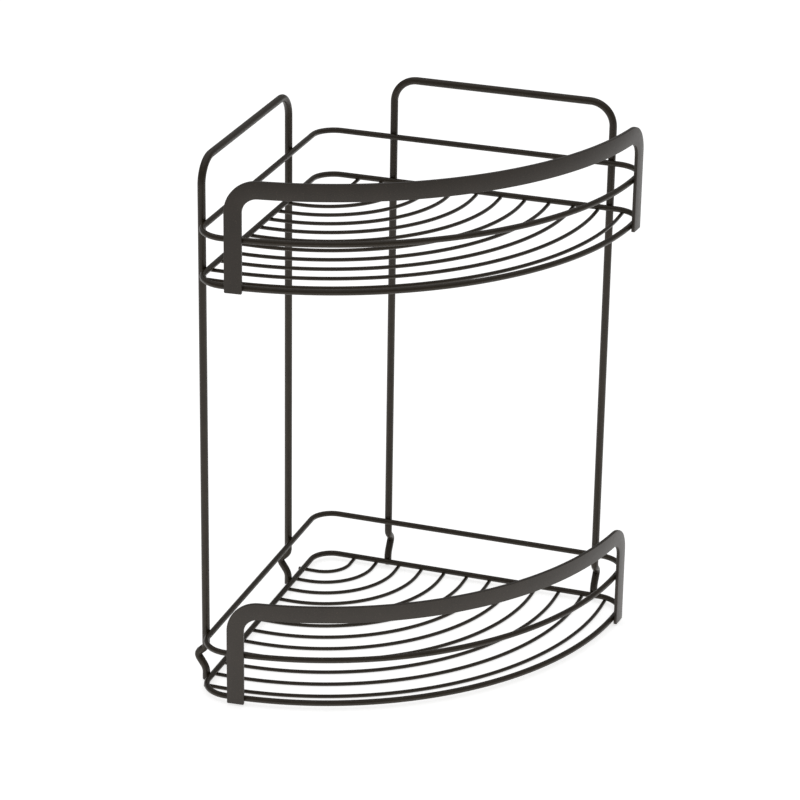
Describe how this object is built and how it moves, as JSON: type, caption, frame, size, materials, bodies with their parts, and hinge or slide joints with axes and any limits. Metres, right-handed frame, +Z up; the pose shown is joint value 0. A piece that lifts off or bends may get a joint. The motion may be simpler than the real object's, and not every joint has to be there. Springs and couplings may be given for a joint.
{
  "type": "shower caddy",
  "caption": "Quarter-round corner shelf unit of black welded wire: stacked shelves with concentric-arc floors, flat strip guards and wall frames.",
  "frame": {"origin": "middle of the bounding box's bottom face, on the surface that the lowest floor wires rest on", "axes": "+Z up; -Y towards the open, rounded front; +Y towards the wall corner; X = 0 is the mirror plane; the walls stand at 45 degrees to X and Y"},
  "size_m": [0.2716, 0.2026, 0.3193],
  "materials": {
    "black_wire": "satin powder coat with a fine grain, near-black brown",
    "black_strip": "satin powder coat with a fine grain, near-black brown"
  },
  "bodies": {
    "root": {"left_wall_frame": "black_wire", "right_wall_frame": "black_wire", "lower_bottom_rim": "black_wire", "lower_top_rim": "black_wire", "upper_bottom_rim": "black_wire", "upper_top_rim": "black_wire", "lower_floor_wire_01": "black_wire", "lower_floor_wire_02": "black_wire", "lower_floor_wire_03": "black_wire", "lower_floor_wire_04": "black_wire", "lower_floor_wire_05": "black_wire", "lower_floor_wire_06": "black_wire", "lower_floor_wire_07": "black_wire", "lower_floor_wire_08": "black_wire", "lower_floor_wire_09": "black_wire", "lower_floor_wire_10": "black_wire", "lower_floor_wire_11": "black_wire", "lower_floor_wire_12": "black_wire", "upper_floor_wire_01": "black_wire", "upper_floor_wire_02": "black_wire", "upper_floor_wire_03": "black_wire", "upper_floor_wire_04": "black_wire", "upper_floor_wire_05": "black_wire", "upper_floor_wire_06": "black_wire", "upper_floor_wire_07": "black_wire", "upper_floor_wire_08": "black_wire", "upper_floor_wire_09": "black_wire", "upper_floor_wire_10": "black_wire", "upper_floor_wire_11": "black_wire", "upper_floor_wire_12": "black_wire", "lower_guard_strip": "black_strip", "upper_guard_strip": "black_strip"}
  },
  "joints": []
}
